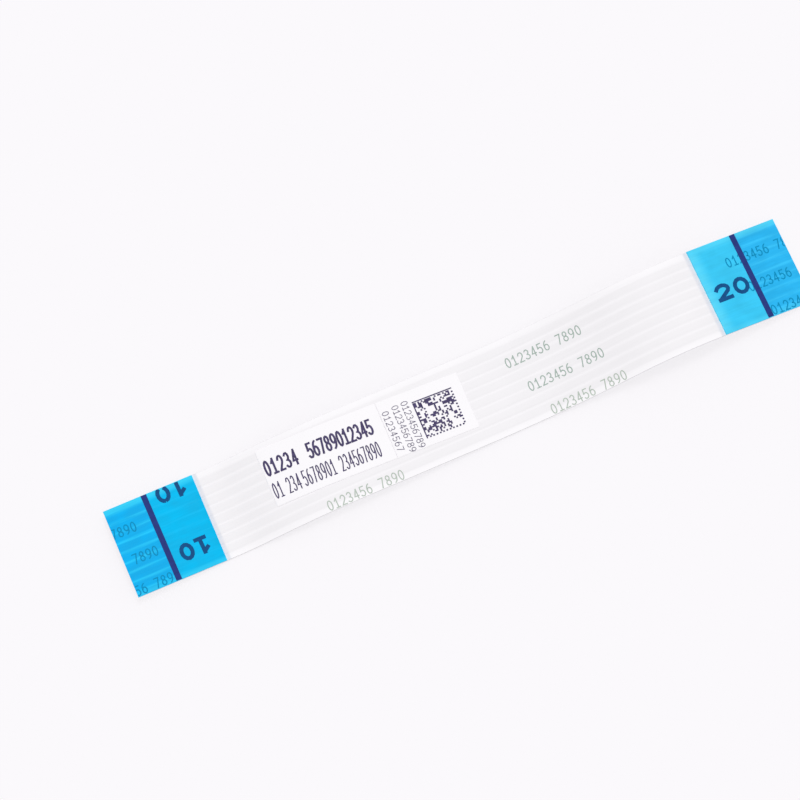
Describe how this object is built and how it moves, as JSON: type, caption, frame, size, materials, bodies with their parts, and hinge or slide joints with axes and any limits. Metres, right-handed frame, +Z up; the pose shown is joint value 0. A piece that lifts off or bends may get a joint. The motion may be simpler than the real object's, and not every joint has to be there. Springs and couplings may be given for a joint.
{
  "type": "flat flex cable",
  "caption": "Short white flat flex cable with flat conductors, a blue stiffener tape on each end and paper labels, lying with a low hump.",
  "frame": {"origin": "centre of the bounding box at its base, on the surface the cable lies on", "axes": "+X along the cable from the end with two printed marks to the end with one, +Y across it, +Z up, away from the surface, labels facing up"},
  "size_m": [0.0706, 0.009, 0.0024],
  "materials": {
    "top_film": "satin white polyester film",
    "bottom_film": "satin white polyester film",
    "conductor": "bright tin plate",
    "stiffener_left": "satin blue tape",
    "stiffener_right": "satin blue tape",
    "label": "matt coated paper"
  },
  "bodies": {
    "root": {"top_film": "top_film", "bottom_film": "bottom_film", "conductor_1": "conductor", "conductor_2": "conductor", "conductor_3": "conductor", "conductor_4": "conductor", "conductor_5": "conductor", "conductor_6": "conductor", "conductor_7": "conductor", "conductor_8": "conductor", "stiffener_left": "stiffener_left", "stiffener_right": "stiffener_right", "label_long": "label", "label_code": "label"}
  },
  "joints": []
}
